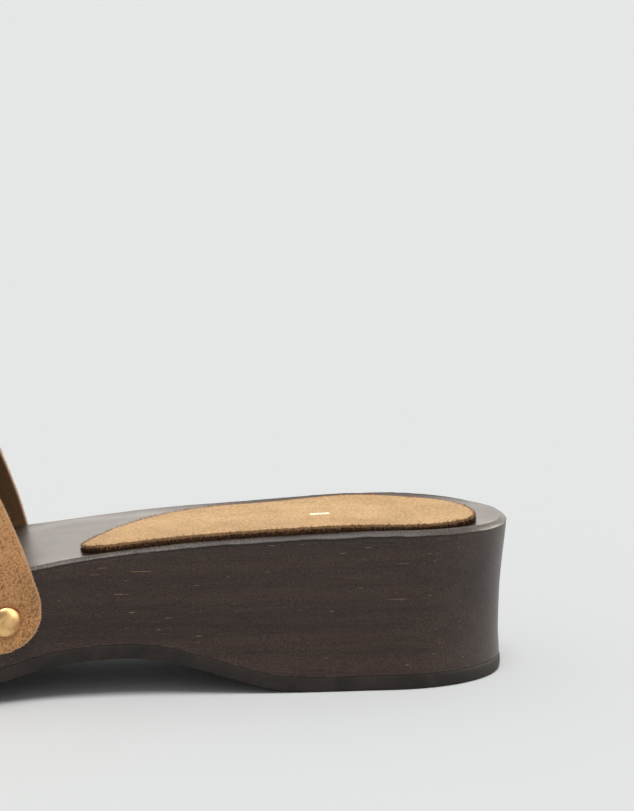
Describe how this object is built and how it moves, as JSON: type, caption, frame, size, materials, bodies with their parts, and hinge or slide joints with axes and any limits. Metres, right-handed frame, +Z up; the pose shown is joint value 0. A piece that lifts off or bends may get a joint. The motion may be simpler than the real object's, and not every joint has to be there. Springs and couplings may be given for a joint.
{
  "type": "wooden clog",
  "caption": "Closed-toe slip-on clog: stained wooden sole with an arched underside and rubber outsole, a suede upper nailed to its side with dome-headed studs, and a suede heel sock.",
  "frame": {"origin": "on the floor, under the middle of the clog's bounding box", "axes": "+X from the toe to the heel, +Z up from the floor, +Y to the outer side of the foot"},
  "size_m": [0.2582, 0.101, 0.0963],
  "materials": {
    "stained_wood": "dark brown stain under a semi-gloss lacquer, fine lengthwise grain",
    "outsole_rubber": "matte moulded rubber, near black",
    "sock_board": "pressed fibre board with a rough dark cut edge",
    "sock_suede": "matte tan suede",
    "upper_suede": "mid-brown suede with a coarse nap",
    "lining_leather": "smooth brown lining leather",
    "puff_board": "stiffened cloth, hidden between suede and lining",
    "stud_brass": "matte aged brass"
  },
  "bodies": {
    "root": {"wooden_sole": "stained_wood", "rubber_outsole": "outsole_rubber", "heel_sock_base": "sock_board", "heel_sock_cover": "sock_suede", "upper_lining": "lining_leather", "upper_suede": "upper_suede", "toe_puff": "puff_board", "stud_01": "stud_brass", "stud_02": "stud_brass", "stud_03": "stud_brass", "stud_04": "stud_brass", "stud_05": "stud_brass", "stud_06": "stud_brass", "stud_07": "stud_brass", "stud_08": "stud_brass", "stud_09": "stud_brass", "stud_10": "stud_brass", "stud_11": "stud_brass", "stud_12": "stud_brass", "stud_13": "stud_brass"}
  },
  "joints": []
}
